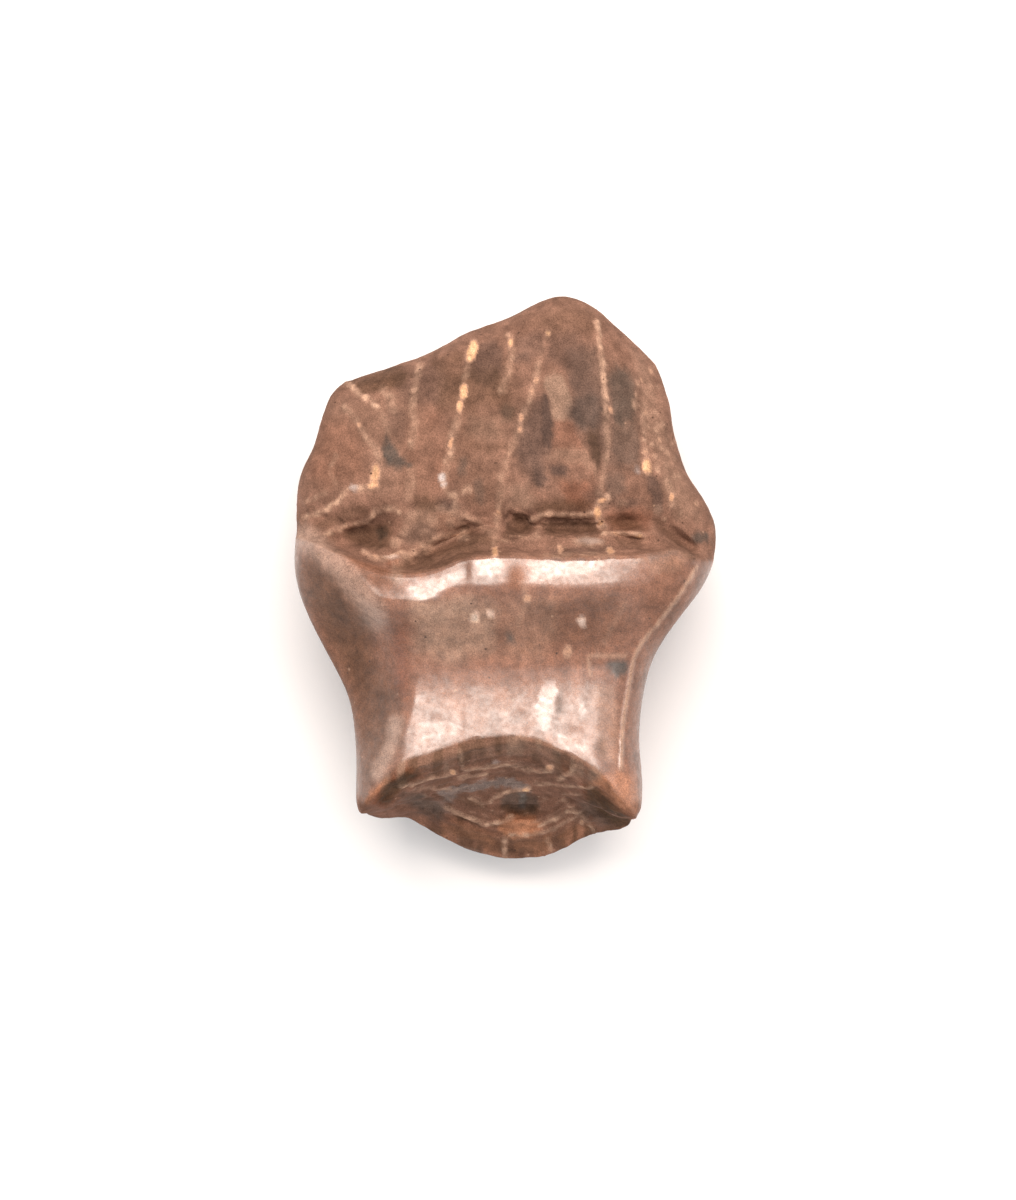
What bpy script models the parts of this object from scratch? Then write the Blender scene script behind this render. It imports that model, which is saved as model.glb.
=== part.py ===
"""A fossil tooth of an armoured dinosaur, lying on its back on a small worn flat.

The tooth is one solid. A worn, leaf-shaped crown stands at the top (+Y). Below it a
step, chipped into pockets, drops behind the swollen collar at the crown's base. The
root under the collar narrows to a waist, flares a little and ends in an oblique break
that shows its growth layers round a small hollow.

+X is across the tooth, +Y runs from the root to the crown tip and +Z is up, out of
the face that shows. The tooth rests on Z = 0. Lengths are in millimetres until the
mesh is made, where MM turns them into metres and the length is centred on the origin.
"""

import bmesh
import bpy
import numpy as np

MM = 0.001

# Outline seen from above, as (height along the tooth, place across it)
LEFT_EDGE = [
    (-4.74, -2.97), (-3.20, -2.98), (-2.40, -3.10), (-1.40, -3.61), (-0.70, -3.96),
    (0.10, -4.19), (1.00, -4.18), (2.05, -4.10), (2.65, -3.82), (3.40, -3.60), (3.70, -3.46),
    (3.90, -3.27),
]
RIGHT_EDGE = [
    (-4.86, 2.66), (-4.20, 2.72), (-3.20, 2.65), (-2.30, 2.74), (-1.50, 2.98), (-0.90, 3.38),
    (-0.10, 3.97), (0.45, 4.18), (1.05, 4.18), (1.45, 4.05), (2.00, 3.66), (2.70, 3.41),
    (3.60, 3.25), (4.24, 3.03),
]
# Crown tip, lip of the collar and both sides of the break, as (across, along)
CROWN_TIP = [
    (-3.27, 3.90), (-2.20, 4.24), (-1.25, 4.62), (-0.87, 4.85), (-0.39, 5.03), (0.13, 5.22),
    (0.55, 5.46), (1.15, 5.62), (1.70, 5.45), (2.20, 5.03), (3.03, 4.24),
]
COLLAR_LIP = [
    (-4.18, 0.80), (-3.60, 0.66), (-2.90, 0.34), (-2.10, 0.10), (-1.40, 0.16), (-0.90, 0.38),
    (-0.20, 0.46), (1.00, 0.42), (2.15, 0.44), (2.80, 0.50), (3.40, 0.56), (4.18, 0.30),
]
BREAK_FRONT = [
    (-2.97, -4.74), (-2.41, -4.10), (-1.71, -3.70), (-0.91, -3.40), (-0.11, -3.22),
    (0.49, -3.20), (1.09, -3.40), (1.69, -3.74), (2.15, -4.14), (2.66, -4.86),
]
BREAK_BACK = [
    (-2.97, -4.74), (-2.80, -4.84), (-1.93, -4.93), (-1.60, -5.14), (-1.00, -5.47),
    (-0.25, -5.72), (0.20, -5.76), (0.75, -5.72), (1.45, -5.41), (1.85, -5.20),
    (2.50, -5.02), (2.66, -4.86),
]

# Where the ends of a row lie along the two edges, by the row's own height
BREAK_HEIGHT, LIP_HEIGHT, TIP_HEIGHT = -4.74, 0.42, 4.05
LEFT_ENDS = [(BREAK_HEIGHT, -4.74), (-1.60, -1.60), (LIP_HEIGHT, 0.80), (1.90, 2.0), (TIP_HEIGHT, 3.90)]
RIGHT_ENDS = [(BREAK_HEIGHT, -4.86), (-1.60, -1.60), (LIP_HEIGHT, 0.30), (1.90, 1.9), (TIP_HEIGHT, 4.24)]
# How far along the tooth the rows still bend with the break, the lip and the crown tip
BREAK_REACH, TIP_REACH = -1.50, 1.00
LIP_REACH_DOWN, LIP_FADE_START, LIP_REACH_UP = -1.60, 0.82, 2.40

# Side view along the middle of the tooth, as (row height, depth above the rest)
FRONT_PROFILE = [
    (-4.70, 5.06), (-3.80, 4.76), (-3.26, 4.585), (-2.70, 4.415), (-2.25, 4.30), (-1.90, 4.24),
    (-1.55, 4.22), (-1.10, 4.36), (-0.70, 4.66), (-0.42, 4.82), (-0.18, 4.85), (0.02, 4.81),
    (0.34, 4.715), (0.385, 4.70), (0.42, 4.62), (0.49, 4.24), (0.60, 4.10), (0.80, 4.02),
    (0.96, 3.86), (1.16, 3.90), (1.40, 3.98), (2.20, 3.90), (3.20, 3.58), (4.05, 3.02),
]
BACK_PROFILE = [
    (-5.75, 1.04), (-5.00, 0.86), (-4.00, 0.68), (-3.00, 0.55), (-2.00, 0.32), (-1.10, -0.04),
    (-0.35, -0.20), (0.25, -0.10), (0.75, 0.28), (1.15, 0.70), (1.65, 0.95), (2.30, 1.14),
    (3.20, 1.55), (4.05, 2.10),
]
EDGE_PROFILE = [
    (-4.80, 2.62), (-3.00, 2.36), (-1.00, 2.22), (0.60, 2.30), (1.60, 2.45), (4.05, 2.58),
]

# Squareness of the sections: 2 is an ellipse, and more is boxier
LEFT_SQUARENESS = [(-4.8, 4.0), (-2.0, 4.8), (0.2, 3.4), (1.4, 3.0), (4.1, 3.2)]
RIGHT_SQUARENESS = [(-4.8, 4.6), (-2.0, 5.0), (0.2, 3.8), (1.4, 3.0), (4.1, 3.2)]
BACK_SQUARENESS = [(-4.8, 2.1), (-1.0, 2.2), (1.4, 2.6), (4.1, 3.0)]

# The flatter facet that runs down the whole left side, from this line outwards
LEFT_FACET = [
    (-4.80, -2.40), (-3.40, -1.95), (-1.50, -1.90), (-0.20, -2.50), (0.60, -3.10),
    (1.40, -2.80), (2.40, -2.50), (4.00, -2.80),
]
LEFT_FACET_SLOPE = [(-4.80, 0.80), (-1.50, 0.75), (0.60, 0.70), (1.60, 0.35), (4.00, 0.35)]
FACET_SOFTNESS, FACET_OVERLAP = 0.10, 0.60

# Hollows of the chipped step and of the break, and the bump at the break's middle:
# (across, along, half length, half width, turn in degrees, depth)
STEP_POCKETS = [
    (-2.78, 0.86, 0.85, 0.30, 18, 0.45),
    (-1.15, 0.68, 1.00, 0.18, 30, 0.35),
    (0.29, 1.04, 0.32, 0.26, 0, 0.50),
    (1.26, 1.00, 0.72, 0.22, 0, 0.50),
    (2.32, 1.10, 0.30, 0.14, 0, 0.25),
    (2.46, 0.72, 0.36, 0.14, 0, 0.35),
    (3.40, 0.76, 0.65, 0.16, -42, 0.35),
]
BREAK_HOLLOWS = [
    (0.29, -4.66, 0.46, 0.20, 0, 0.30),
    (0.29, -4.96, 0.42, 0.22, 0, -0.14),
]
# Shares of an oval's radius where its floor ends and where its rim fades out
HOLLOW_FLOOR, HOLLOW_RIM = 0.35, 1.15
# Shallow flutes that run up the crown, as (place across it at the step, lean)
FLUTES = [(-1.95, 0.05), (-0.75, 0.10), (0.10, 0.17), (1.98, 0.0), (2.88, -0.03)]
FLUTE_BOTTOM, FLUTE_HALF_WIDTH, FLUTE_DEPTH, FLUTE_FADE = 1.30, 0.26, 0.06, 0.30
# Share of a section's roundness below which its sides stay free of hollows and flutes
SIDE_SHARE = 0.6

# The break: its core line, and how far it is scooped out, as (share of the way in, depth)
BREAK_CORE = (-0.05, -4.88, 2.64)
BREAK_CORE_STRETCH = 0.42
BREAK_SCOOP = [(0.0, 0.0), (0.1, 0.06), (0.34, 0.20), (0.60, 0.30), (1.0, 0.34)]
BREAK_NORMAL = (0.0, -0.80, 0.60)
LAYER_STEPS = [(0.40, 0.10), (0.58, 0.07), (0.75, 0.07), (0.88, 0.05)]
LAYER_STEP_WIDTH = 0.05
HOLLOWS_START, HOLLOWS_FULL = 0.3, 0.6

# The rounded, slightly blunt edge of the worn crown
TIP_ROUNDING = 0.45
TIP_BLUNTNESS = 0.14

# Mesh density
ROW_BANDS = [
    (-4.74, -4.35, 2), (-4.35, -0.60, 11), (-0.60, 0.30, 6), (0.30, 0.54, 4),
    (0.54, 1.26, 7), (1.26, 3.60, 9),
]
TIP_ROWS = 5
FRONT_COLUMNS = 56
BACK_COLUMNS = FRONT_COLUMNS // 2
SECTION_SAMPLES = 400
BREAK_SHARES = [0.04, 0.14, 0.27, 0.40, 0.45, 0.58, 0.63, 0.75, 0.80, 0.88, 0.93]

TOOTH_COLOUR = (0.30, 0.165, 0.115, 1.0)
TOOTH_ROUGHNESS = 0.28


def curve_through(points):
    """A smooth curve through (position, value) points, as a function of position."""
    at, value = np.array(points, float).T
    slope = np.gradient(value, at)

    def curve(position):
        position = np.clip(position, at[0], at[-1])
        i = np.clip(np.searchsorted(at, position, side="right") - 1, 0, len(at) - 2)
        gap = at[i + 1] - at[i]
        t = (position - at[i]) / gap
        rise = t * t * (3 - 2 * t)
        leave = t * (1 - t) ** 2 * gap * slope[i]
        arrive = t * t * (t - 1) * gap * slope[i + 1]
        return value[i] + (value[i + 1] - value[i]) * rise + leave + arrive

    return curve


def bow_of(points):
    """How far a curve rises over the line between its ends, from -1 at the left to 1."""
    curve = curve_through(points)
    (x_left, y_left), (x_right, y_right) = points[0], points[-1]

    def bow(across):
        share = (1 + across) / 2
        return curve(x_left + (x_right - x_left) * share) - y_left - (y_right - y_left) * share

    return bow


def ramp(value, start, end):
    """Rises smoothly from 0 at start to 1 at end."""
    t = np.clip((value - start) / (end - start), 0, 1)
    return t * t * (3 - 2 * t)


def lower_of(first, second, softness):
    """The lower of two heights, with a rounded change from one to the other."""
    mix = np.clip(0.5 + 0.5 * (second - first) / softness, 0, 1)
    return second + (first - second) * mix - softness * mix * (1 - mix)


left_edge, right_edge = curve_through(LEFT_EDGE), curve_through(RIGHT_EDGE)
left_ends, right_ends = curve_through(LEFT_ENDS), curve_through(RIGHT_ENDS)
tip_bow, lip_bow = bow_of(CROWN_TIP), bow_of(COLLAR_LIP)
break_front_bow, break_back_bow = bow_of(BREAK_FRONT), bow_of(BREAK_BACK)
front_profile, back_profile = curve_through(FRONT_PROFILE), curve_through(BACK_PROFILE)
edge_profile = curve_through(EDGE_PROFILE)
left_squareness = curve_through(LEFT_SQUARENESS)
right_squareness = curve_through(RIGHT_SQUARENESS)
back_squareness = curve_through(BACK_SQUARENESS)
left_facet, left_facet_slope = curve_through(LEFT_FACET), curve_through(LEFT_FACET_SLOPE)


def hollow_depth(x, y, hollows):
    """Depth at each point of a list of rounded oval hollows."""
    depth = np.zeros_like(x)
    for centre_x, centre_y, half_length, half_width, turn, deepest in hollows:
        turn = np.radians(turn)
        along = (x - centre_x) * np.cos(turn) + (y - centre_y) * np.sin(turn)
        aside = (y - centre_y) * np.cos(turn) - (x - centre_x) * np.sin(turn)
        away = np.hypot(along / half_length, aside / half_width)
        depth += deepest * (1 - ramp(away, HOLLOW_FLOOR, HOLLOW_RIM))
    return depth


def flute_depth(x, y):
    depth = np.zeros_like(x)
    for place, lean in FLUTES:
        away = np.abs(x - place - lean * (y - FLUTE_BOTTOM)) / FLUTE_HALF_WIDTH
        depth += FLUTE_DEPTH * (1 - ramp(away, 0, 1))
    return depth * ramp(y, FLUTE_BOTTOM - FLUTE_FADE, FLUTE_BOTTOM + FLUTE_FADE)


def row_ends(height):
    """Place and height of a row's two ends, on the outline's left and right edges."""
    left, right = left_ends(height), right_ends(height)
    return (left_edge(left), left), (right_edge(right), right)


def half_section(height, front):
    """One side of a row's section, from its right end to its left end, as points."""
    (x_left, y_left), (x_right, y_right) = row_ends(height)
    across = np.cos(np.linspace(0, np.pi, SECTION_SAMPLES))
    x = (x_left + x_right) / 2 + (x_right - x_left) / 2 * across
    chord = (y_left + y_right) / 2 + (y_right - y_left) / 2 * across

    near_break = 1 - ramp(height, BREAK_HEIGHT, BREAK_REACH)
    near_lip = ramp(height, LIP_REACH_DOWN, LIP_HEIGHT)
    near_lip *= 1 - ramp(height, LIP_FADE_START, LIP_REACH_UP)
    near_tip = ramp(height, TIP_REACH, TIP_HEIGHT)
    break_bow = near_break * (break_front_bow(across) if front else break_back_bow(across))
    y = chord + break_bow + near_tip * tip_bow(across)
    if front:
        y += near_lip * lip_bow(across)

    edge = edge_profile(height)
    nominal = height + break_bow
    middle = front_profile(nominal) if front else back_profile(nominal)
    square = back_squareness(height)
    if front:
        square = np.where(across < 0, left_squareness(height), right_squareness(height))
    roundness = (1 - np.abs(across) ** square) ** (1 / square)
    worn = np.clip((height - TIP_HEIGHT + TIP_ROUNDING) / TIP_ROUNDING, 0, 1)
    roundness *= max(np.sqrt(1 - worn**2), TIP_BLUNTNESS)
    z = edge + (middle - edge) * roundness
    if front:
        inside = x - left_facet(height)
        facet = middle + left_facet_slope(height) * inside
        z = np.where(inside < FACET_OVERLAP, lower_of(z, facet, FACET_SOFTNESS), z)
        relief = hollow_depth(x, y, STEP_POCKETS) + flute_depth(x, y)
        z -= relief * ramp(roundness, 0, SIDE_SHARE)
    return np.stack([x, y, z], axis=1)


def spread_evenly(points, count):
    """Count points on the same line, spaced evenly along it."""
    length = np.concatenate([[0], np.cumsum(np.linalg.norm(np.diff(points, axis=0), axis=1))])
    at = np.linspace(0, length[-1], count)
    return np.stack([np.interp(at, length, points[:, k]) for k in range(3)], axis=1)


def row(height):
    """The closed section at a height: its front from right to left, then its back."""
    front = spread_evenly(half_section(height, front=True), FRONT_COLUMNS + 1)
    back = spread_evenly(half_section(height, front=False), BACK_COLUMNS + 1)
    return np.concatenate([front, back[-2:0:-1]])


def row_heights():
    heights = [BREAK_HEIGHT]
    for start, end, count in ROW_BANDS:
        heights += list(np.linspace(start, end, count + 1)[1:])
    turn = np.linspace(0, np.pi / 2, TIP_ROWS + 1)[1:]
    return heights + list(TIP_HEIGHT - TIP_ROUNDING + TIP_ROUNDING * np.sin(turn))


def break_ring(rim, share):
    """The break's surface, a share of the way from its rim to its core line."""
    core = np.array(BREAK_CORE) + np.outer(rim[:, 0], [BREAK_CORE_STRETCH, 0, 0])
    scooped = curve_through(BREAK_SCOOP)(share)
    for place, depth in LAYER_STEPS:
        scooped = scooped + depth * ramp(share, place, place + LAYER_STEP_WIDTH)
    ring = rim + (core - rim) * share - np.array(BREAK_NORMAL) * scooped
    hollows = hollow_depth(ring[:, 0], ring[:, 1], BREAK_HOLLOWS)
    ring[:, 2] -= hollows * ramp(share, HOLLOWS_START, HOLLOWS_FULL)
    return ring


def add_ring(mesh, points):
    """Adds a ring of points, moved so that the tooth's length is centred on the origin."""
    middle = (max(y for _, y in CROWN_TIP) + min(y for _, y in BREAK_BACK)) / 2
    return [mesh.verts.new((point - [0, middle, 0]) * MM) for point in points]


def join_rings(mesh, first, second):
    count = len(first)
    for i in range(count):
        j = (i + 1) % count
        mesh.faces.new((first[i], first[j], second[j], second[i]))


def close_ring(mesh, ring):
    """Closes a flat ring with a strip from its front to its back, two columns to one."""
    for i in range(1, FRONT_COLUMNS):
        corners = [ring[i], ring[i + 1], ring[-((i + 1) // 2)], ring[-(i // 2)]]
        mesh.faces.new(list(dict.fromkeys(corners)))


def cut_resting_flat(mesh):
    """Cuts the swelling of the back off at Z = 0, where the tooth rests."""
    geometry = mesh.verts[:] + mesh.edges[:] + mesh.faces[:]
    cut = bmesh.ops.bisect_plane(
        mesh, geom=geometry, dist=1e-7, plane_co=(0, 0, 0), plane_no=(0, 0, -1), clear_outer=True
    )
    rim = [item for item in cut["geom_cut"] if isinstance(item, bmesh.types.BMEdge)]
    bmesh.ops.contextual_create(mesh, geom=rim)


def build_tooth():
    mesh = bmesh.new()
    rows = [row(height) for height in row_heights()]
    rings = [add_ring(mesh, points) for points in rows]
    for lower, upper in zip(rings, rings[1:]):
        join_rings(mesh, lower, upper)
    close_ring(mesh, rings[-1])

    inner = rings[0]
    for share in BREAK_SHARES:
        ring = add_ring(mesh, break_ring(rows[0], share))
        join_rings(mesh, inner, ring)
        inner = ring
    close_ring(mesh, inner)

    bmesh.ops.recalc_face_normals(mesh, faces=mesh.faces)
    cut_resting_flat(mesh)
    data = bpy.data.meshes.new("tooth")
    mesh.to_mesh(data)
    mesh.free()
    return data


def fossil_material():
    material = bpy.data.materials.new("brown_fossil")
    material.use_nodes = True
    shader = material.node_tree.nodes["Principled BSDF"]
    shader.inputs["Base Color"].default_value = TOOTH_COLOUR
    shader.inputs["Roughness"].default_value = TOOTH_ROUGHNESS
    shader.inputs["Metallic"].default_value = 0.0
    return material


def main():
    for old in list(bpy.data.objects):
        bpy.data.objects.remove(old)
    collection = bpy.data.collections.new("fossil_tooth")
    bpy.context.scene.collection.children.link(collection)
    tooth = bpy.data.objects.new("tooth", build_tooth())
    tooth.data.materials.append(fossil_material())
    tooth.data.shade_smooth()
    collection.objects.link(tooth)


main()
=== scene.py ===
"""Looks of a fossil tooth of an armoured dinosaur: its worn surface and colours, the light and the camera.

Features that the photograph shows are placed by its pixels (1016 x 1200). The surface is worked in
millimetres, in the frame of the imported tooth, and turned into metres at the end.
"""

import math
from contextlib import contextmanager

import bmesh
import bpy
import numpy as np
from mathutils import Euler, Matrix, Vector, noise


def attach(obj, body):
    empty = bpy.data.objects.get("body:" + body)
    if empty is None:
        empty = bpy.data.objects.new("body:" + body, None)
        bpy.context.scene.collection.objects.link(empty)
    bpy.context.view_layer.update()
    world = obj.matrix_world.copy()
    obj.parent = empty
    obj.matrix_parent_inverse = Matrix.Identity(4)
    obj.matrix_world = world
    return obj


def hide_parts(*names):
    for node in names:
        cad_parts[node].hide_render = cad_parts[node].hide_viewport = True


MM = 0.001

# The photograph's view, straight down: the origin's pixel, the scale and the height in mm where it holds,
# the camera's place and its distance from that height
ORIGIN_PX = (505.5, 581.5)
PX_PER_MM, SCALE_HEIGHT = 50.0, 2.4
CAMERA_PLACE, CAMERA_DISTANCE = (0.05, -0.37), 66.7
LENS, SENSOR_HEIGHT, CLIP_START = 100.0, 36.0, 0.001

# Soft light panels, in metres: (name, place, size, brightness, colour)
LIGHT_TARGET = (0.0, -0.001, 0.004)
PANELS = [
    ("main_panel", (0.0, 0.028, 0.056), (0.050, 0.028), 7.2, (1.0, 0.88, 0.79)),
    ("halo_panel", (0.012, 0.024, 0.062), (0.092, 0.046), 1.5, (1.0, 0.82, 0.74)),
]
SURROUND_BRIGHTNESS = 0.86
FLOOR_HALF_WIDTH = 0.25

# The mesh: smoothing, tolerances, angles up to which triangles join, and roundness of new faces
SUBDIVISIONS = 1
SAME_PLACE, FLAT_TOLERANCE = 1e-8, 1e-4
JOIN_FACE_ANGLE, JOIN_SHAPE_ANGLE = 0.9, 1.2
DIVIDED_ROUNDNESS = 0.4
# Smallest faces that are divided, in square mm: on the visible side, and at small detail
LARGE_FACE, DETAIL_FACE = 0.0040, 0.0020
# Pixels that small detail reaches below the lip, round the break and round cracks
DETAIL_BELOW_LIP, DETAIL_ROUND_BREAK, DETAIL_ROUND_CRACK = 4, 6, 1.5
# How far up a point faces where the photograph's features start and are full, and where it is nearly seen
FACING_START, FACING_FULL = 0.02, 0.22
NEARLY_SEEN = -0.25

# Random waves: their turn off the axes, and each one's size in mm and seed
PATTERN_TURN = (0.5, 0.4, 0.7)
WIDE_WAVE, NARROW_WAVE = (0.35, 1), (0.11, 8)
UNEVEN_WAVE, GAP_WAVE, BEAD_WAVE = (0.10, 3), (0.22, 4), (0.13, 10)
COARSE_WAVE, ROUGH_WAVE, FINE_WAVE = (0.50, 6), (0.24, 6), (0.14, 6)
COLUMN_WAVE, HIDDEN_WAVE = (0.17, 12), (1.1, 5)
# Pixels that a feature strays from where it is drawn, with wide and with narrow waves
SWAYING, SHIVERING, RAGGED = (3.0, 0.0), (1.2, 1.3), (2.5, 3.0)

# Pale fillings of the crown's cracks: (half width, height in mm, paleness, points)
CRACKS = [
    (3.8, 0.016, 0.75, [(347, 382), (357, 391), (367, 398), (377, 407)]),
    (4.6, 0.006, 0.22, [(377, 407), (384, 420), (388, 432)]),
    (6, 0.01, 0.35, [(384, 389), (390, 398), (392, 410)]),
    (4.6, 0.012, 0.42, [(345, 407), (354, 418), (366, 436), (378, 452), (380, 460)]),
    (5.4, 0.014, 0.36, [(380, 462), (377, 475), (372, 486)]),
    (3.9, 0.016, 0.62, [(372, 488), (353, 487), (345, 493), (338, 501), (325, 510), (305, 518)]),
    (5, 0.01, 0.46, [(420, 364), (415, 385), (413, 400), (414, 425), (412, 445)]),
    (6.5, 0.008, 0.26, [(412, 468), (411, 480), (409, 495)]),
    (4.2, 0.014, 0.28, [(474, 340), (468, 365), (462, 388), (459, 414)]),
    (5.2, 0.014, 0.52, [(457, 420), (453, 436), (450, 452), (446, 464), (443, 478)]),
    (4, 0.014, 0.6, [(443, 482), (447, 492), (455, 495), (468, 490)]),
    (4.2, 0.01, 0.3, [(455, 495), (456, 508), (450, 516)]),
    (5, 0.01, 0.36, [(509, 336), (512, 350), (508, 372), (502, 390)]),
    (4, 0.006, 0.12, [(549, 331), (543, 346), (539, 362)]),
    (3.8, 0.016, 0.5, [(539, 362), (536, 380), (532, 390), (528, 402)]),
    (4.2, 0.014, 0.34, [(525, 408), (519, 430), (513, 442), (509, 455)]),
    (6.5, 0.01, 0.3, [(506, 462), (502, 480), (500, 500)]),
    (4.6, 0.012, 0.4, [(499, 505), (497, 525), (494, 556)]),
    (3.7, 0.018, 0.8, [(597, 322), (600, 345), (603, 370), (605, 398)]),
    (3.7, 0.016, 0.44, [(605, 398), (606, 420), (608, 446)]),
    (3.6, 0.01, 0.3, [(608, 446), (605, 470), (600, 492)]),
    (5.4, 0.018, 0.7, [(607, 497), (600, 508), (598, 515), (602, 526)]),
    (3.6, 0.01, 0.32, [(645, 405), (643, 420), (646, 445), (647, 458)]),
    (4.6, 0.012, 0.42, [(668, 480), (671, 492), (674, 505)]),
    (3.2, 0.008, 0.26, [(303, 502), (314, 498), (325, 494)]),
    (3.2, 0.008, 0.22, [(336, 455), (330, 470), (335, 482)]),
]
# Light rims and edges of the chipped step, in the same way
STEP_RIMS = [
    (4, 0.035, 0.7, [(326, 534), (345, 527), (366, 521), (377, 512), (390, 508), (399, 512)]),
    (3.6, 0.03, 0.55, [(364, 551), (372, 557), (383, 558), (394, 556), (402, 552)]),
    (6.4, 0.04, 0.62, [(402, 558), (420, 550), (436, 540), (450, 535), (464, 535)]),
    (4.6, 0.03, 0.34, [(466, 516), (480, 524), (492, 533)]),
    (3.4, 0.04, 0.7, [(533, 519), (545, 515), (562, 515), (578, 516), (594, 514)]),
    (3.2, 0.03, 0.42, [(533, 519), (539, 528), (533, 536)]),
    (3.2, 0.03, 0.68, [(603, 534), (618, 533), (632, 535), (645, 537)]),
    (3.6, 0.018, 0.34, [(500, 541), (520, 539), (538, 537)]),
    (3.6, 0.016, 0.3, [(545, 556), (580, 554), (612, 556)]),
]
# Growth layers of the break, in the same way
BREAK_LINES = [
    (3.1, 0.025, 0.57, [(400, 786), (420, 782), (437, 777), (456, 772)]),
    (2.9, 0.03, 0.68, [(466, 769), (490, 767), (512, 765), (532, 770), (550, 772)]),
    (2.6, 0.02, 0.57, [(459, 778), (472, 776), (486, 775)]),
    (2.8, 0.025, 0.62, [(470, 798), (478, 802), (488, 802), (497, 796), (506, 792), (522, 790), (530, 788)]),
    (2.9, 0.03, 0.75, [(447, 807), (465, 816), (480, 822), (491, 824), (500, 822), (512, 817)]),
    (3.1, 0.03, 0.75, [(540, 826), (556, 818), (568, 812), (580, 812)]),
    (3.1, 0.025, 0.57, [(510, 835), (532, 834), (550, 830), (565, 822), (576, 815)]),
    (2.8, 0.025, 0.57, [(563, 800), (572, 808), (584, 818), (594, 832)]),
    (2.2, 0.015, 0.49, [(534, 783), (560, 786), (592, 788)]),
    (2.2, 0.015, 0.41, [(563, 795), (580, 794)]),
    (2.4, 0.015, 0.38, [(414, 790), (430, 788), (450, 790)]),
    (3.7, 0.02, 0.61, [(574, 768), (568, 774), (558, 780)]),
    (3.3, 0.02, 0.41, [(460, 750), (461, 760), (463, 768)]),
    (4, 0.02, 0.54, [(505, 838), (505, 856)]),
    (3.1, 0.02, 0.68, [(548, 840), (552, 850)]),
]
# Lines on the collar and the root, in the same way
ROOT_LINES = [
    (4, 0.006, 0.3, [(524, 582), (525, 603), (518, 625)]),
    (3.4, 0.006, 0.55, [(591, 674), (591, 656), (625, 656)]),
    (4.6, 0.004, 0.18, [(626, 603), (614, 624), (604, 643)]),
    (3.2, 0.03, 0.85, [(697, 566), (684, 589), (662, 619), (641, 644), (633, 665), (628, 692), (623, 725),
        (621, 768)]),
]
# Painted highlights: soft pale sheens of the left facet, in the same way
PAINTED_SHEENS = [
    (19, 0, 0.5, [(304, 536), (318, 548), (334, 563), (347, 577), (359, 591), (369, 604), (374, 618)]),
    (12, 0, 0.55, [(396, 722), (390, 748), (377, 774)]),
]
# How much wider cracks, rims and layers are drawn, and their paleness: least, in parts, in beads
LINE_SPREAD = 1.25
FILLING, FILLING_PARTS, FILLING_BEADS = 0.32, 0.42, 0.85
# Paleness of the root's lines and of the painted sheens: least, and where uneven; and the painted sheens'
# frost
ROOT_LINE, ROOT_LINE_UNEVEN = 0.55, 0.5
PAINTED_SHEEN_FROST = 0.28

# Brightest crystals, with painted glints: (across, along, half width, half length, turn in degrees,
# strength)
CRYSTALS_AND_GLINTS = [
    (472, 351, 5.6, 14, 14, 1), (463, 391, 5.4, 9, 4, 0.8), (460, 406, 4.6, 9, 8, 0.55),
    (451, 444, 3.6, 8, 12, 0.45), (375, 474, 7, 13, 8, 0.56), (374, 485, 9, 4, 0, 0.5),
    (359, 426, 4, 4, 0, 0.35), (511, 343, 4, 6, 0, 0.6), (548, 333, 4.4, 4, 0, 0.5),
    (521, 418, 4, 6, 12, 0.35), (519, 429, 3.6, 4, 12, 0.35), (536, 381, 4, 4, 0, 0.35),
    (532, 390, 3.6, 5, 12, 0.3), (509, 454, 4.4, 4, 0, 0.2), (598, 512, 4.6, 8, 0, 0.65),
    (602, 500, 6, 3, -30, 0.5), (601, 522, 4, 4, 0, 0.5), (610, 409, 3.6, 4, 0, 0.35),
    (672, 498, 3.4, 6, 0, 0.5), (498, 513, 4, 5, 0, 0.35), (495, 552, 4, 7, 0, 0.55),
    (560, 550, 4, 8, 0, 0.3), (610, 551, 6, 5, 0, 0.45), (475, 618, 6, 7, 0, 0.75), (490, 614, 5, 5, 0, 0.5),
    (582, 622, 5, 5, 0, 0.5), (527, 599, 4, 6, 0, 0.5), (568, 652, 6, 8, 10, 0.35), (452, 772, 4, 3, 0, 0.5),
    (549, 768, 6, 4, 0, 0.4), (526, 790, 4.4, 3, 0, 0.6), (582, 822, 4, 4, 0, 0.35),
    (376, 556, 4, 3, 0, 0.3), (455, 534, 6, 2.6, 0, 0.4), (640, 536, 4, 2.4, 0, 0.5),
    (615, 533, 5, 2.4, 0, 0.4), (646, 452, 4, 2.2, 0, 0.3), (647, 466, 5, 9.5, 0, 0.9),
    (659, 441, 4, 2.4, -30, 0.3), (640, 379, 3, 3, 0, 0.3), (646, 413, 3.2, 3.2, 0, 0.28),
    (697, 504, 3.2, 3.2, 0, 0.3), (650, 370, 4, 2.4, 40, 0.3),
]
# Bluish white crystals and painted glints, in the same way
FROSTS_AND_GLINTS = [
    (590, 541, 15, 3.6, 0, 0.22), (392, 557, 9, 2.6, 0, 0.3), (354, 487, 5.6, 4, 0, 0.5),
    (442, 477, 4.6, 5, 0, 0.95), (636, 470, 4, 3.4, 0, 0.5), (444, 484, 4, 4, 0, 0.6),
    (496, 762, 5, 3, 0, 0.3), (475, 618, 6, 7, 0, 0.6), (490, 614, 5, 5, 0, 0.5), (582, 622, 5, 5, 0, 0.7),
]
# Small raised knobs of the step, in the same way
KNOBS = [
    (396, 542, 8, 7, 0, 0.45), (432, 522, 8, 7, 0, 0.35), (450, 523, 7, 6, 0, 0.32),
    (474, 521, 7, 5, 30, 0.3), (414, 515, 8, 5, -20, 0.25), (440, 508, 7, 6, 0, 0.2),
    (424, 534, 9, 6, 0, 0.15), (658, 510, 6, 8, 0, 0.2), (622, 504, 8, 5, 0, 0.2), (525, 505, 8, 5, 0, 0.2),
    (640, 560, 9, 5, 0, 0.2), (404, 530, 7, 8, 0, 0.2),
]
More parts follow.
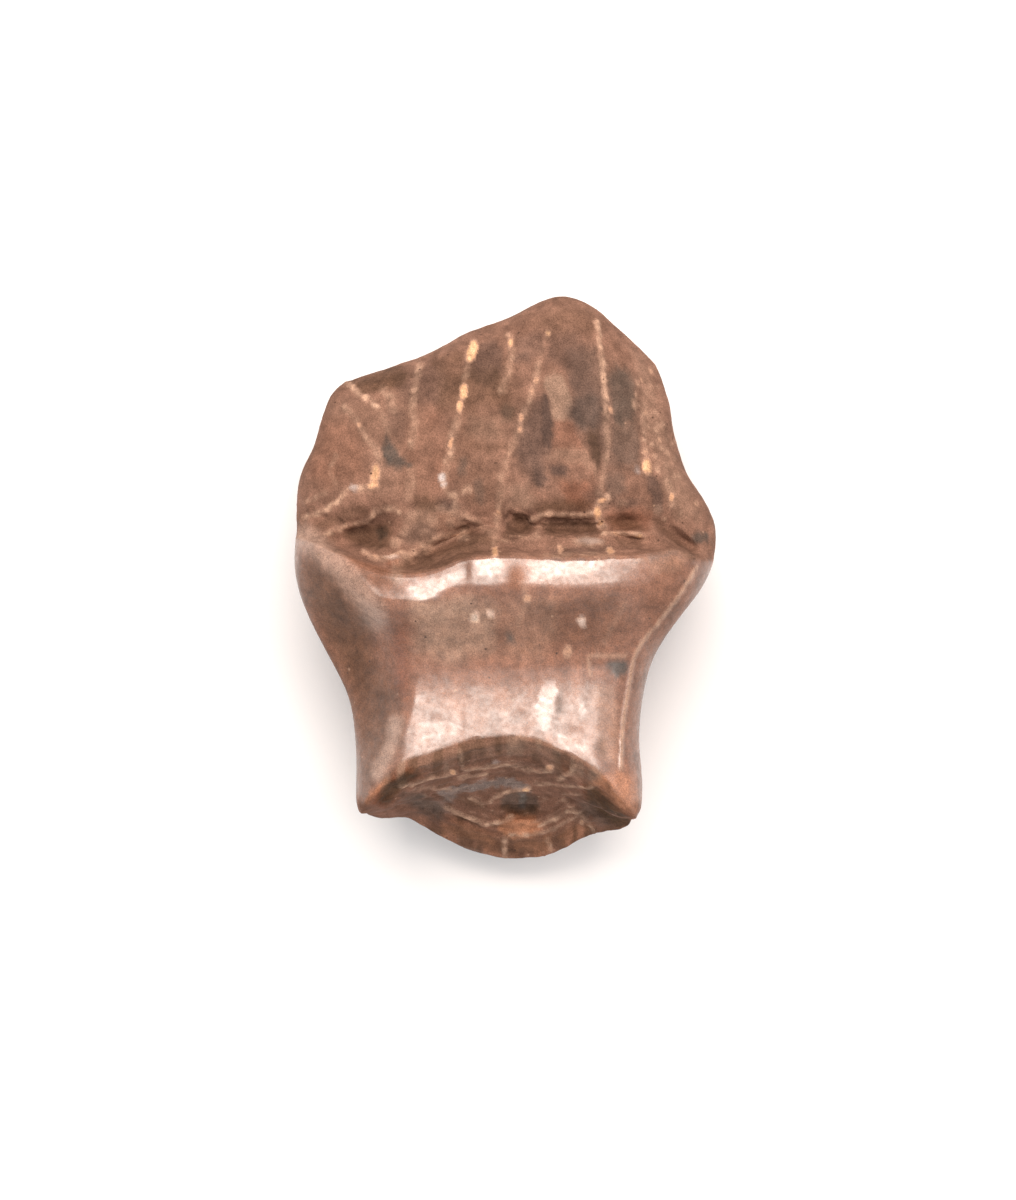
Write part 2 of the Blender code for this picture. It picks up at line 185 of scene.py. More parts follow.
# Slight swellings of the collar, in the same way, with their height in mm
SWELLINGS = [(428, 607, 23, 13, -10, 0.026), (487, 590, 16, 10, 0, 0.008)]
# Heights of the strongest knob and crystal, in mm
KNOB_HEIGHT, CRYSTAL_HEIGHT = 0.05, 0.02
# A crystal's strength where its pale edge, its orange glow and its bright core start and are full; together
# they are a painted glint
CRYSTAL_EDGE, CRYSTAL_GLOW, CRYSTAL_CORE = (0.03, 0.35), (0.12, 0.75), (0.28, 0.85)
# Pale specks on the crown's right flank: how many, where, and their least and most size, turn and paleness
SPECKS, SPECK_SEED = 46, 5
SPECK_MIDDLE, SPECK_SPREAD, SPECK_SLANT = (662, 440), (12, 42), 9
SPECK_SIZE, SPECK_TURN, SPECK_PALENESS = (2.0, 4.0), (-60, 60), (0.25, 0.65)

# Coloured patches, by colour, some of them painted shade and some painted highlights: (strength, softness of
# the edge, outline)
MAUVE = [
    (0.42, 17, [(566, 414), (572, 392), (588, 384), (604, 390), (604, 424), (597, 434), (578, 432)]),
    (0.95, 8, [(542, 392), (550, 400), (553, 420), (554, 440), (548, 452), (541, 440), (539, 415)]),
    (0.85, 8, [(532, 468), (542, 466), (546, 478), (541, 487), (534, 484)]),
    (0.66, 15, [(541, 393), (548, 404), (549, 422), (552, 440), (547, 452), (544, 470), (540, 485),
        (532, 482), (531, 470), (521, 463), (514, 456), (517, 440), (523, 425), (530, 405)]),
    (0.44, 14, [(546, 338), (560, 331), (578, 334), (585, 350), (591, 370), (592, 386), (578, 382),
        (566, 372), (556, 364), (545, 362)]),
    (0.86, 8, [(588, 430), (600, 430), (602, 450), (600, 466), (597, 474), (594, 460), (590, 448),
        (584, 438)]),
    (0.58, 12, [(464, 366), (476, 345), (492, 338), (503, 352), (502, 372), (494, 388), (478, 384),
        (466, 378)]),
    (0.63, 9, [(512, 356), (523, 350), (533, 352), (530, 362), (518, 362)]),
    (0.69, 9, [(440, 498), (456, 498), (460, 507), (448, 513), (440, 508)]),
    (0.75, 9, [(644, 474), (654, 474), (662, 486), (664, 502), (660, 516), (654, 512), (650, 494)]),
    (0.52, 9, [(548, 548), (580, 546), (612, 546), (610, 553), (575, 555), (550, 554)]),
    (0.46, 12, [(404, 528), (420, 524), (440, 530), (430, 540), (410, 544), (400, 540)]),
    (0.52, 10, [(580, 492), (600, 490), (610, 500), (640, 498), (636, 508), (604, 506), (586, 503)]),
    (0.44, 20, [(396, 372), (440, 360), (452, 385), (440, 404), (405, 400), (394, 388)]),
    (0.34, 16, [(388, 408), (408, 412), (410, 440), (396, 438), (386, 424)]),
    (0.46, 12, [(516, 338), (540, 332), (546, 350), (532, 358), (518, 352)]),
    (0.9, 6, [(550, 466), (561, 463), (571, 469), (564, 477), (551, 475)]),
    (0.57, 12, [(566, 372), (590, 380), (601, 394), (582, 400), (573, 392)]),
]
SLATE = [
    (0.22, 22, [(508, 408), (530, 400), (552, 420), (556, 450), (548, 488), (528, 486), (514, 460)]),
    (0.4, 22, [(566, 350), (596, 346), (608, 372), (632, 372), (642, 420), (640, 470), (604, 470),
        (596, 430), (578, 420), (572, 390)]),
    (0.78, 17, [(568, 414), (574, 397), (588, 390), (602, 396), (602, 420), (597, 431), (580, 430)]),
    (0.74, 15, [(608, 376), (616, 366), (628, 368), (635, 384), (637, 416), (624, 430), (611, 426),
        (608, 400)]),
    (0.55, 12, [(609, 426), (636, 420), (641, 448), (640, 462), (625, 468), (612, 460)]),
    (0.45, 9, [(606, 474), (622, 472), (626, 490), (614, 500), (606, 494)]),
    (0.9, 8, [(386, 433), (393, 445), (402, 455), (413, 466), (400, 469), (386, 464), (382, 450)]),
    (0.55, 7, [(456, 470), (460, 460), (468, 458), (467, 468), (460, 476)]),
    (0.45, 8, [(472, 482), (482, 477), (486, 492), (482, 506), (474, 500)]),
    (0.55, 7, [(499, 410), (505, 404), (514, 408), (512, 419), (503, 421)]),
    (0.75, 8, [(690, 538), (698, 532), (709, 534), (708, 543), (696, 545)]),
    (0.7, 6, [(376, 530), (384, 526), (388, 536), (380, 542)]),
    (0.65, 9, [(500, 800), (505, 793), (520, 792), (534, 796), (540, 804), (534, 812), (512, 810),
        (502, 808)]),
    (0.55, 12, [(576, 802), (596, 800), (612, 812), (620, 824), (598, 826), (582, 814)]),
    (0.7, 14, [(400, 796), (420, 794), (444, 806), (440, 822), (420, 812)]),
    (0.85, 6, [(506, 635), (513, 633), (516, 640), (508, 644)]),
    (0.95, 7, [(608, 661), (622, 659), (629, 668), (623, 676), (611, 675)]),
    (0.45, 6, [(555, 694), (563, 692), (564, 712), (557, 715)]),
    (0.35, 8, [(592, 740), (604, 736), (608, 754), (598, 760)]),
]
ASH = [
    (0.5, 5, [(436, 791), (462, 786), (486, 780), (512, 778), (527, 785), (532, 793), (522, 792), (508, 786),
        (488, 788), (462, 794), (440, 797)]),
    (0.7, 5, [(518, 792), (526, 793), (525, 810), (519, 808)]),
    (0.45, 8, [(440, 790), (456, 788), (458, 800), (444, 802)]),
    (0.2, 7, [(430, 800), (446, 800), (450, 812), (436, 812)]),
]
UMBER = [
    (0.18, 26, [(446, 370), (520, 360), (526, 400), (516, 440), (500, 500), (470, 504), (450, 470)]),
    (0.14, 18, [(609, 364), (634, 370), (640, 440), (612, 442)]),
    (0.5, 8, [(484, 372), (496, 369), (503, 376), (499, 387), (487, 386)]),
    (0.4, 8, [(450, 353), (462, 351), (465, 361), (452, 366)]),
    (0.45, 7, [(497, 405), (506, 401), (516, 407), (514, 420), (502, 422)]),
    (0.5, 8, [(588, 430), (600, 430), (602, 450), (600, 466), (597, 474), (594, 460), (590, 448),
        (584, 438)]),
    (0.6, 12, [(348, 382), (375, 372), (400, 366), (412, 374), (402, 386), (380, 390), (360, 392)]),
    (0.35, 12, [(430, 360), (455, 348), (466, 350), (460, 372), (440, 378)]),
    (0.48, 24, [(440, 372), (468, 366), (510, 380), (512, 404), (470, 410), (436, 404)]),
    (0.32, 12, [(436, 398), (480, 398), (498, 406), (470, 414), (438, 412)]),
    (0.3, 20, [(530, 322), (560, 306), (590, 306), (606, 322), (590, 334), (548, 334)]),
    (0.45, 12, [(464, 442), (490, 441), (510, 444), (508, 452), (480, 452)]),
    (0.45, 10, [(414, 496), (428, 494), (440, 502), (434, 512), (418, 510)]),
    (0.4, 12, [(476, 388), (496, 392), (510, 400), (500, 408), (480, 402), (466, 398)]),
    (0.55, 14, [(530, 504), (560, 500), (594, 500), (592, 512), (560, 513), (536, 514)]),
    # Darker stone and painted shade on the left facet, which faces away from the light
    (0.53, 34, [(300, 556), (322, 566), (346, 586), (368, 612), (376, 660), (398, 690), (404, 745),
        (384, 770), (362, 800), (355, 700), (330, 640), (306, 600)]),
    (0.45, 9, [(396, 567), (410, 557), (430, 549), (450, 543), (470, 545), (488, 549), (470, 557),
        (448, 565), (425, 573), (405, 574)]),
    (0.25, 24, [(540, 600), (620, 590), (640, 620), (600, 650), (545, 640)]),
    (0.05, 16, [(402, 760), (430, 752), (470, 738), (520, 735), (548, 741), (580, 758), (604, 772),
        (596, 782), (566, 768), (520, 757), (470, 762), (420, 776), (396, 784)]),
    (0.4, 12, [(440, 824), (470, 826), (500, 838), (540, 838), (572, 828), (560, 846), (520, 856),
        (490, 850), (460, 842)]),
    (0.5, 5, [(440, 826), (446, 826), (446, 833), (440, 833)]),
]
TAN = [
    (0.5, 18, [(508, 488), (526, 484), (534, 500), (524, 510), (508, 508)]),
    (1, 7, [(541, 377), (553, 372), (563, 378), (569, 392), (573, 404), (569, 416), (560, 422), (552, 418),
        (550, 402), (545, 388)]),
    (0.5, 6, [(546, 454), (558, 446), (575, 446), (588, 450), (596, 462), (597, 477), (590, 472), (578, 462),
        (560, 463), (549, 460)]),
    (0.7, 5, [(571, 539), (588, 537), (604, 539), (603, 546), (585, 546), (572, 544)]),
    (0.35, 16, [(470, 415), (500, 418), (504, 438), (480, 440), (464, 434)]),
    (0.38, 16, [(634, 350), (652, 372), (664, 420), (676, 462), (690, 490), (704, 520), (676, 520),
        (664, 490), (648, 440), (640, 400)]),
    (0.3, 16, [(672, 470), (690, 490), (700, 515), (688, 522), (676, 500)]),
    (0.45, 14, [(404, 512), (430, 504), (462, 506), (466, 530), (440, 532), (420, 546), (400, 540)]),
    (0.15, 30, [(320, 400), (400, 396), (440, 430), (430, 500), (330, 492), (312, 450)]),
    # Lighter stone and a painted sheen on the collar below its left shine
    (0.75, 30, [(416, 604), (470, 596), (500, 606), (494, 650), (450, 664), (418, 650)]),
    (0.35, 24, [(506, 600), (556, 596), (560, 630), (540, 660), (500, 655)]),
    (0.7, 10, [(392, 562), (404, 566), (405, 580), (396, 584), (390, 574)]),
    (0.3, 14, [(402, 760), (430, 752), (470, 739), (520, 736), (548, 742), (580, 758), (598, 770),
        (560, 762), (520, 753), (470, 758), (420, 773)]),
    (0.4, 12, [(646, 556), (668, 550), (690, 556), (680, 570), (652, 572)]),
]
RUST = [
    (0.22, 6, [(553, 418), (569, 416), (577, 430), (581, 443), (593, 455), (598, 470), (594, 480),
        (585, 466), (573, 463), (558, 463), (547, 457), (552, 444), (551, 431)]),
    (0.3, 30, [(318, 420), (345, 420), (368, 450), (366, 480), (330, 486), (310, 470)]),
    (0.18, 30, [(400, 420), (440, 410), (450, 480), (430, 500), (405, 490)]),
    (0.45, 14, [(560, 484), (590, 482), (598, 500), (586, 512), (566, 504)]),
    (0.42, 16, [(608, 514), (630, 508), (650, 512), (648, 530), (622, 534), (610, 528)]),
    (0.5, 14, [(392, 630), (404, 628), (410, 670), (406, 702), (394, 690)]),
    (0.5, 12, [(430, 515), (448, 512), (462, 524), (450, 536), (432, 530)]),
    (0.55, 10, [(386, 562), (398, 560), (406, 572), (398, 578)]),
    # These two tint the painted shadows of the wedges under the break's lip
    (0.75, 10, [(372, 803), (378, 790), (392, 776), (412, 766), (426, 774), (408, 786), (396, 798),
        (384, 808)]),
    (0.75, 10, [(580, 782), (600, 788), (616, 802), (634, 818), (630, 828), (612, 824), (596, 808),
        (584, 794)]),
    (0.45, 12, [(554, 752), (574, 760), (590, 776), (572, 778), (556, 768)]),
]
# Painted highlights: soft pale glows below the collar's left shine and at the right of the root's shine
PAINTED_GLOWS = [
    (0.26, 14, [(594, 686), (616, 686), (620, 730), (616, 764), (602, 756), (596, 720)]),
    (0.46, 20, [(410, 598), (440, 606), (470, 598), (468, 614), (440, 626), (412, 622)]),
    (0.1, 34, [(416, 612), (470, 606), (500, 612), (490, 648), (446, 658), (418, 646)]),
]
EMBER = [
    (0.24, 12, [(654, 556), (676, 553), (688, 560), (676, 570), (656, 570)]),
    # Painted highlight on the rounded lip of the right corner
    (0.85, 14, [(592, 784), (606, 772), (620, 768), (634, 778), (640, 800), (634, 814), (618, 808),
        (604, 792)]),
    (0.95, 8, [(498, 832), (500, 820), (514, 813), (532, 814), (543, 826), (536, 836), (514, 838)]),
    (0.35, 10, [(450, 818), (470, 826), (494, 834), (486, 846), (458, 836)]),
    (0.4, 10, [(556, 834), (576, 824), (592, 826), (584, 840), (564, 846)]),
    # Painted highlight along the flare of the left corner
    (0.55, 8, [(362, 800), (372, 790), (384, 778), (388, 782), (376, 794), (366, 804)]),
]
PATCHES = {
    "mauve": MAUVE, "slate": SLATE, "ash": ASH, "umber": UMBER, "tan": TAN, "rust": RUST, "pale": PAINTED_GLOWS,
    "ember": EMBER,
}
# Dirt and painted shade in the step's pockets and in the break: (depth in mm, or height if below 0,
# darkness, outline)
POCKETS = [
    (0.02, 0.44, [(312, 528), (325, 518), (345, 508), (362, 505), (370, 512), (352, 520), (330, 527)]),
    (-0.05, 0.64, [(340, 534), (356, 529), (370, 524), (386, 522), (393, 533), (388, 548), (376, 551),
        (358, 545)]),
    (0.02, 0.62, [(402, 568), (412, 561), (426, 554), (442, 546), (458, 541), (474, 537), (486, 533),
        (488, 540), (474, 548), (456, 554), (432, 567), (414, 572)]),
    (-0.06, 0.57, [(462, 522), (478, 530), (492, 536), (500, 541), (490, 547), (472, 544), (458, 540)]),
    (-0.17, 0.62, [(503, 537), (508, 522), (516, 512), (524, 514), (534, 529), (528, 536), (514, 538)]),
    (-0.15, 0.63, [(541, 522), (560, 521), (596, 521), (600, 534), (575, 536), (546, 535)]),
    (0, 0.6, [(606, 518), (622, 514), (640, 520), (643, 530), (624, 531), (612, 528)]),
    (-0.10, 0.45, [(614, 539), (630, 538), (643, 541), (640, 547), (620, 546)]),
    (-0.03, 0.36, [(654, 519), (662, 521), (680, 540), (698, 556), (692, 561), (676, 546), (660, 530)]),
    (0.02, 0.8, [(500, 808), (508, 804), (520, 809), (536, 806), (542, 812), (530, 817), (508, 816)]),
    # These two are painted shadows in the wedges under the break's lip
    (0, 1.05, [(376, 802), (380, 792), (392, 780), (408, 770), (424, 774), (408, 784), (396, 797),
        (386, 806)]),
    (0, 1.08, [(584, 784), (600, 790), (614, 803), (630, 818), (634, 828), (617, 828), (599, 814),
        (586, 800)]),
    (0, 0.57, [(553, 754), (566, 754), (576, 766), (568, 774), (556, 776)]),
    (0.03, 0.85, [(453, 815), (462, 815), (469, 821), (458, 823)]),
    (0.01, 0.48, [(456, 797), (470, 796), (486, 804), (484, 811), (466, 808)]),
    (0.01, 0.4, [(430, 780), (446, 778), (452, 784), (440, 788)]),
]
PATCH_SOFTNESS, POCKET_SOFTNESS, POLISH_SOFTNESS = 0.8, 9, 8

# How polished the root is, where it is smoother: (strength, outline), and ovals where it is duller
ROOT_POLISH = 0.48
POLISHED = [
    (1, [(409, 584), (428, 577), (446, 573), (448, 588), (440, 599), (418, 603), (409, 597)]),
    (1, [(445, 574), (464, 567), (466, 578), (450, 586)]),
    (1, [(473, 560), (501, 556), (505, 565), (497, 577), (477, 578)]),
    (1, [(530, 559), (580, 557), (606, 560), (607, 568), (580, 576), (531, 582)]),
    (0.7, [(413, 724), (430, 717), (450, 722), (463, 716), (460, 734), (440, 743), (418, 757), (411, 758)]),
    (0.7, [(411, 693), (427, 692), (426, 704), (414, 707)]),
    (0.65, [(488, 712), (498, 705), (508, 710), (503, 718), (492, 719)]),
    (0.75, [(517, 696), (525, 694), (526, 702), (518, 705)]),
    (1, [(541, 685), (557, 678), (557, 702), (552, 730), (541, 732), (533, 716), (537, 700)]),
    (0.7, [(573, 695), (586, 697), (588, 718), (578, 722)]),
    (0.9, [(555, 731), (563, 733), (569, 744), (590, 741), (589, 750), (570, 754), (557, 743)]),
    (0.55, [(466, 688), (486, 684), (500, 690), (494, 700), (470, 702)]),
]
DULLED = [
    (516, 577, 13, 18, 0, 0.9), (468, 570, 7, 16, 0, 0.8), (626, 572, 16, 16, 0, 0.42),
    (340, 640, 54, 130, 0, 0.75), (668, 610, 40, 60, 0, 0.6), (559, 704, 5, 13, 0, 0.6),
    (464, 720, 3, 36, 0, 0.35), (527, 720, 3, 26, 0, 0.3), (448, 694, 12, 6, 0, 0.4),
    (478, 724, 9, 5, 0, 0.3), (520, 712, 9, 6, 0, 0.4), (436, 716, 10, 5, 0, 0.3),
    (574, 728, 12, 6, 0, 0.45), (600, 748, 9, 14, 0, 0.6), (498, 700, 7, 5, 0, 0.3),
    (640, 584, 30, 14, 0, 0.3), (510, 630, 190, 44, 0, 0.55), (500, 690, 110, 20, 0, 0.35),
    (372, 574, 46, 20, 38, 0.85), (637, 568, 13, 18, 0, 0.3), (641, 812, 12, 15, 0, 0.85),
    (394, 591, 15, 12, 0, 0.65), (355, 806, 10, 14, 0, 0.85), (668, 570, 36, 18, 0, 0.5),
]

# The step's lip, where the collar begins, and how the root's finish sets in across it, in pixels
LIP_LINE = [
    (298, 538), (317, 543), (340, 552), (360, 560), (390, 568), (410, 573), (437, 569), (460, 558),
    (493, 555), (557, 557), (613, 556), (647, 553), (677, 550), (692, 560), (716, 560),
]
LIP_EDGE = (-2, 4)
# Where it sets in on the hidden side, in mm along the tooth
HIDDEN_LIP = (0.9, 0.1)
# Pixels that the chipped step reaches above the lip, and fades over at its start and end
STEP_HEIGHT, STEP_START, STEP_FADE = 52, 8, 20
# The ledge above the lip: from and to, in pixels, and how often it is smoothed
LEDGE, LEDGE_ROUNDS = (4, 18), 6
# The root's worn corners, and how far each round of smoothing reaches
WORN_CORNERS = [(359, 812), (636, 822)]
WORN_REACHES = (34, 31, 28, 25, 22, 20, 18, 16, 14, 12, 10, 8)
# The stone left under the right one: an oval, how far it comes out in mm, and where it fades in height
CORNER_STONE = (629, 821, 15, 13, 0)
CORNER_STEP = (0.11, -0.05, 0.0)
CORNER_HEIGHTS = (3.7, 3.2)

# The break, the softness of its edge, and how far round it is looked, in pixels
BREAK_OUTLINE = [
    (358, 808), (372, 792), (388, 774), (402, 760), (414, 756), (430, 752), (452, 744), (470, 738),
    (500, 735), (520, 735), (540, 738), (558, 748), (580, 758), (600, 770), (614, 790), (628, 806),
    (637, 820), (620, 828), (600, 830), (568, 848), (545, 856), (515, 860), (493, 856), (465, 848),
    (436, 838), (415, 820), (380, 816),
]
BREAK_EDGE, BREAK_REACH = 2.5, 6
# It also covers what turns this much to the root's end, from these places along the tooth, in mm
BREAK_TURN = (0.62, 0.77)
BREAK_START = (3.3, 3.8)
# Its growth layers: spacing and waver in pixels, height in mm, where they set in, strength; their colour is
# painted shade in the hollows and painted light on the crests
LAYER_SPACING, LAYER_WAVER, LAYER_HEIGHT = 8.5, 5, 0.016
LAYER_RELIEF_FROM, LAYER_COLOUR_FROM = (3, 14), (14, 26)
LAYER_STRENGTH = 0.22
# Columns in its outer band: (how deep, where down the photograph, dark colour, light colour)
BREAK_BANDS = [
    ((18, 30), (800, 780), ("umber", 0.55), ("tan", 0.75)),
    ((12, 26), (816, 830), ("umber", 0.50), ("ember", 0.40)),
]
COLUMN_STRETCH = (1.0, 0.12, 0.12)
# Dark blotches of the hidden side
BLOTCH_STRENGTH, BLOTCH_EDGE = 0.7, (0.1, 0.45)

# Heights in mm of coarse, rough and fine grain, and how deep the surface is sunk for it
CROWN_GRAIN, STEP_GRAIN = (0.016, 0, 0.007), (0, 0.026, 0.014)
ROOT_GRAIN, BREAK_GRAIN = (0.002, 0, 0), (0, 0.014, 0.008)
SUNK = 0.006

# Darker and lighter tone of the crown and of the root
CROWN_TONES = (0.166, 0.087, 0.059), (0.219, 0.117, 0.081)
ROOT_TONES = (0.168, 0.077, 0.047), (0.232, 0.108, 0.067)
# Colours laid over them, in this order, by the masks with their names
TINTS = [
    ("broken", (0.175, 0.086, 0.057)),
    ("rust", (0.185, 0.064, 0.033)),
    ("tan", (0.250, 0.154, 0.108)),
    ("ash", (0.215, 0.192, 0.178)),
    ("slate", (0.078, 0.060, 0.049)),
    ("mauve", (0.080, 0.049, 0.038)),
    ("ember", (0.360, 0.160, 0.088)),
    ("umber", (0.058, 0.031, 0.016)),
    ("pale", (0.420, 0.260, 0.180)),
    ("glow", (0.520, 0.240, 0.130)),
    ("crystal_and_glint", (0.640, 0.455, 0.260)),
    ("frost", (0.480, 0.410, 0.380)),
]
# Scattered dots: (per mm, size, share that shows, colour)
FLECKS = [
    (4.5, 0.16, 0.12, (0.30, 0.18, 0.12)),
    (7.0, 0.20, 0.10, (0.080, 0.043, 0.030)),
]
# Noise: (per mm, detail, values at its low and high end, low and high end)
MOTTLE = (1.5, 3.0, 0.0, 1.0, 0.35, 0.65)
BLOTCHES = (4.0, 3.0, 0.80, 1.20, 0.32, 0.68)
CLOUDS = (2.2, 2.0, 0.88, 1.12, 0.32, 0.68)
STREAKS = (6.0, 2.0, 0.93, 1.07, 0.30, 0.70)
FINE_GRAIN = (42.0, 1.0, 0.70, 1.30, 0.30, 0.70)
WORN_SHINE = (9.0, 3.0, 0.70, 1.25, 0.30, 0.70)
STREAK_STRETCH = (1.0, 0.14, 1.0)
# Roughness where dull and where polished, and the finest bumps: (per mm, detail)
DULL, SMOOTH = 0.72, 0.30
BUMPS = (11.0, 4.0)

WAVE_TURN = np.array(Euler(PATTERN_TURN).to_matrix())
SEED_STEP = np.array([3.7, 1.3, 7.1])


def ramp(value, start, end):
    """Rises smoothly from 0 at start to 1 at end."""
    share = np.clip((value - start) / (end - start), 0, 1)
    return share * share * (3 - 2 * share)


def wander(points, size, seed):
    """Smooth random values from about -1 to 1, which change over about size."""
    places = points @ WAVE_TURN / size + SEED_STEP * (seed + 1)
    return np.array([noise.noise(place) for place in places.tolist()])


def seen(points):
    """Where points show in the photograph, in its pixels."""
    scale = CAMERA_DISTANCE / (CAMERA_DISTANCE + SCALE_HEIGHT - points[:, 2:])
    middle = np.array(CAMERA_PLACE)
    on_plane = middle + (points[:, :2] - middle) * scale
    return np.array(ORIGIN_PX) + on_plane * [PX_PER_MM, -PX_PER_MM]


def curve_through(points, pieces=5):
    """Points along a smooth curve through the given ones."""
    points = np.array(points, float)
    slopes = np.gradient(points, axis=0)
    share = np.linspace(0, 1, pieces, endpoint=False)[:, None]
    rise = share * share * (3 - 2 * share)
    leave = share * (1 - share) ** 2
    arrive = share * share * (share - 1)
    parts = [
        a + (b - a) * rise + leave * slope_a + arrive * slope_b
        for a, b, slope_a, slope_b in zip(points, points[1:], slopes, slopes[1:])
    ]
    return np.concatenate(parts + [points[-1:]])


def gap_to_path(places, path):
    """Distance from each place to a path of straight pieces."""
    nearest = np.full(len(places), np.inf)
    for start, end in zip(path, path[1:]):
        step = end - start
        share = np.clip((places - start) @ step / (step @ step), 0, 1)
        nearest = np.minimum(nearest, np.linalg.norm(places - start - share[:, None] * step, axis=1))
    return nearest


def close_to(path, places, reach):
    """Indices of the places in the box round a path, widened by reach."""
    low, high = path.min(axis=0) - reach, path.max(axis=0) + reach
    return np.flatnonzero(((places > low) & (places < high)).all(axis=1))


def line(places, points, half_width):
    """1 along a curve through the points, falling to 0 at half_width from it."""
    path = curve_through(points)
    near = close_to(path, places, half_width)
    strength = np.zeros(len(places))
    if len(near):
        strength[near] = 1 - ramp(gap_to_path(places[near], path), 0.15 * half_width, half_width)
    return strength


def inside(places, outline):
    """Whether each place lies inside a closed outline."""
    crossings = np.zeros(len(places), int)
    for (x_1, y_1), (x_2, y_2) in zip(outline, outline[1:] + outline[:1]):
        between_ends = (places[:, 1] >= min(y_1, y_2)) & (places[:, 1] < max(y_1, y_2))
        if y_1 != y_2:
            x = x_1 + (places[:, 1] - y_1) * (x_2 - x_1) / (y_2 - y_1)
            crossings += between_ends & (places[:, 0] < x)
    return crossings % 2 == 1


def depth_within(places, outline, reach):
    """How deep each place lies within a closed outline; below 0 outside it, and no less than -reach."""
    path = np.array(outline + outline[:1], float)
    near = close_to(path, places, reach)
    depth = np.full(len(places), -float(reach))
    if len(near):
        gap = gap_to_path(places[near], path)
        depth[near] = np.maximum(np.where(inside(places[near], outline), gap, -gap), -reach)
    return depth


def patch(places, outline, softness):
    """1 inside an outline and 0 outside it, changing over softness."""
    return ramp(depth_within(places, outline, softness), -softness / 2, softness / 2)


def oval(places, across, along, half_width, half_length, turn):
    """1 at the middle of an oval, falling to 0 a little outside its edge."""
    away = places - [across, along]
    turn = math.radians(turn)
    x = away[:, 0] * math.cos(turn) + away[:, 1] * math.sin(turn)
    y = away[:, 1] * math.cos(turn) - away[:, 0] * math.sin(turn)
    return 1 - ramp(np.hypot(x / half_width, y / half_length), 0.3, 1.15)


def ovals(places, table):
    """The strongest of a table of ovals at each place."""
    strength = np.zeros(len(places))
    for *shape, strongest in table:
        strength = np.maximum(strength, strongest * oval(places, *shape))
    return strength


def from_vertices(piece, name):
    """The places ("co") or the normals ("normal") of a piece's vertices."""
    vectors = np.empty(len(piece.data.vertices) * 3)
    piece.data.vertices.foreach_get(name, vectors)
    return vectors.reshape(-1, 3)


@contextmanager
def editing(piece):
    """Opens a piece's mesh, and writes it back after the edits."""
    mesh = bmesh.new()
    mesh.from_mesh(piece.data)
    mesh.verts.ensure_lookup_table()
    yield mesh
    mesh.to_mesh(piece.data)
    mesh.free()


def smooth_vertices(mesh, indices):
    """Moves vertices half way to the middle of their neighbours."""
    verts = [mesh.verts[index] for index in indices]
    bmesh.ops.smooth_vert(mesh, verts=verts, factor=0.5, use_axis_x=True, use_axis_y=True, use_axis_z=True)


def add_to_scene(name, data):
    thing = bpy.data.objects.new(name, data)
    bpy.context.scene.collection.objects.link(thing)
    return thing


def smooth_copy(node):
    """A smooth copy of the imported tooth, in millimetres, with more faces."""
    mesh = bmesh.new()
    mesh.from_mesh(node.data)
    bmesh.ops.remove_doubles(mesh, verts=mesh.verts, dist=SAME_PLACE)
    bmesh.ops.join_triangles(
        mesh, faces=mesh.faces, angle_face_threshold=JOIN_FACE_ANGLE, angle_shape_threshold=JOIN_SHAPE_ANGLE
    )
    bmesh.ops.scale(mesh, vec=(1 / MM,) * 3, verts=mesh.verts)
    crease = mesh.edges.layers.float.new("crease_edge")
    for edge in mesh.edges:
        edge[crease] = float(all(abs(vertex.co.z) < FLAT_TOLERANCE for vertex in edge.verts))
    data = bpy.data.meshes.new("tooth_surface")
    mesh.to_mesh(data)
    mesh.free()
    piece = add_to_scene("tooth_surface", data)
    smoother = piece.modifiers.new("smooth", "SUBSURF")
    smoother.levels = SUBDIVISIONS
    shown = piece.evaluated_get(bpy.context.evaluated_depsgraph_get())
    smooth = bpy.data.meshes.new_from_object(shown)
    piece.modifiers.clear()
    piece.data = smooth
    bpy.data.meshes.remove(data)
    return piece


def above_lip(pixels):
    """How far up the photograph from the step's lip each place is, in pixels."""
    return np.interp(pixels[:, 0], *np.array(LIP_LINE, float).T) - pixels[:, 1]


def detail_zones(pixels):
    """Where the photograph's small features need a finer mesh."""
    height = above_lip(pixels)
    wanted = (height > -DETAIL_BELOW_LIP) & (height < STEP_HEIGHT)
    wanted |= patch(pixels, BREAK_OUTLINE, DETAIL_ROUND_BREAK) > 0
    for half_width, _, _, points in CRACKS:
        wanted |= line(pixels, points, half_width + DETAIL_ROUND_CRACK) > 0
    return wanted


def round_corners(piece):
    """Wears the root's corners round beside the break, and leaves the stone under the right one."""
    places = from_vertices(piece, "co")
    pixels = seen(places)
    below_rim = ramp(places[:, 2], *CORNER_HEIGHTS) * ramp(-places[:, 1], *BREAK_START)
    places += (below_rim * oval(pixels, *CORNER_STONE))[:, None] * CORNER_STEP
    piece.data.vertices.foreach_set("co", places.ravel())
    with editing(piece) as mesh:
        for middle in WORN_CORNERS:
            away = np.linalg.norm(pixels - middle, axis=1)
            for reach in WORN_REACHES:
                smooth_vertices(mesh, np.flatnonzero(away < reach))


def smooth_ledge(piece):
    """Smooths the ledge between the step's pockets and its lip."""
    height = above_lip(seen(from_vertices(piece, "co")))
    facing_up = from_vertices(piece, "normal")[:, 2] > FACING_START
    chosen = np.flatnonzero((height > LEDGE[0]) & (height < LEDGE[1]) & facing_up)
    with editing(piece) as mesh:
        for _ in range(LEDGE_ROUNDS):
            smooth_vertices(mesh, chosen)


